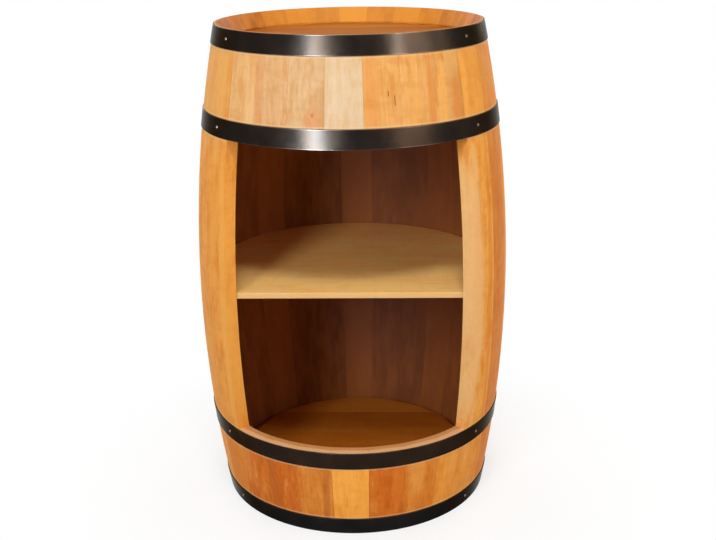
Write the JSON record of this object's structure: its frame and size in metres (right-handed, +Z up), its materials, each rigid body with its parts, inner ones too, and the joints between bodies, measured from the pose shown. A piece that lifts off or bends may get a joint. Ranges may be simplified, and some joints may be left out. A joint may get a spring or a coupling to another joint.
{
  "type": "barrel bar cabinet",
  "caption": "Wooden barrel stood on end as a bar cabinet, with riveted steel hoops, a front opening, an inner shelf and a recessed top.",
  "frame": {"origin": "on the floor at the barrel's axis, under the middle of the ring of stave ends", "axes": "+Z up along the barrel's axis, -Y out of the front opening, +X to the right when facing the opening"},
  "size_m": [0.5264, 0.5166, 0.81],
  "materials": {
    "stave_wood": "satin lacquered alder, honey to amber from stave to stave",
    "head_wood": "satin lacquered alder",
    "shelf_wood": "satin lacquered light wood",
    "cleat_wood": "planed light wood",
    "dowel_wood": "plain beech",
    "hoop_steel": "satin dark brown-black",
    "nail_steel": "bright bevelled heads",
    "screw_steel": "zinc plated"
  },
  "bodies": {
    "root": {"stave_01": "stave_wood", "stave_02": "stave_wood", "stave_03": "stave_wood", "stave_04": "stave_wood", "stave_05": "stave_wood", "stave_06": "stave_wood", "stave_07": "stave_wood", "stave_08": "stave_wood", "stave_09": "stave_wood", "stave_10": "stave_wood", "stave_11": "stave_wood", "stave_12": "stave_wood", "stave_13": "stave_wood", "stave_14": "stave_wood", "stave_15": "stave_wood", "stave_16": "stave_wood", "stave_17": "stave_wood", "stave_18": "stave_wood", "stave_19": "stave_wood", "lower_front_stave_1": "stave_wood", "upper_front_stave_1": "stave_wood", "lower_front_stave_2": "stave_wood", "upper_front_stave_2": "stave_wood", "lower_front_stave_3": "stave_wood", "upper_front_stave_3": "stave_wood", "lower_front_stave_4": "stave_wood", "upper_front_stave_4": "stave_wood", "lower_front_stave_5": "stave_wood", "upper_front_stave_5": "stave_wood", "lower_front_stave_6": "stave_wood", "upper_front_stave_6": "stave_wood", "lower_front_stave_7": "stave_wood", "upper_front_stave_7": "stave_wood", "top_hoop": "hoop_steel", "upper_bilge_hoop": "hoop_steel", "lower_bilge_hoop": "hoop_steel", "bottom_hoop": "hoop_steel", "hoop_rivets": "hoop_steel", "hoop_nails": "nail_steel", "bottom_head_board_1": "head_wood", "bottom_head_board_2": "head_wood", "bottom_head_board_3": "head_wood", "bottom_head_board_4": "head_wood", "bottom_head_board_5": "head_wood", "top_head_board_1": "head_wood", "top_head_board_2": "head_wood", "top_head_board_3": "head_wood", "top_head_board_4": "head_wood", "top_head_board_5": "head_wood", "head_dowels": "dowel_wood", "shelf": "shelf_wood", "shelf_cleat_right_front": "cleat_wood", "shelf_cleat_right_back": "cleat_wood", "shelf_cleat_left_back": "cleat_wood", "shelf_cleat_left_front": "cleat_wood", "shelf_cleat_screws": "screw_steel"}
  },
  "joints": []
}
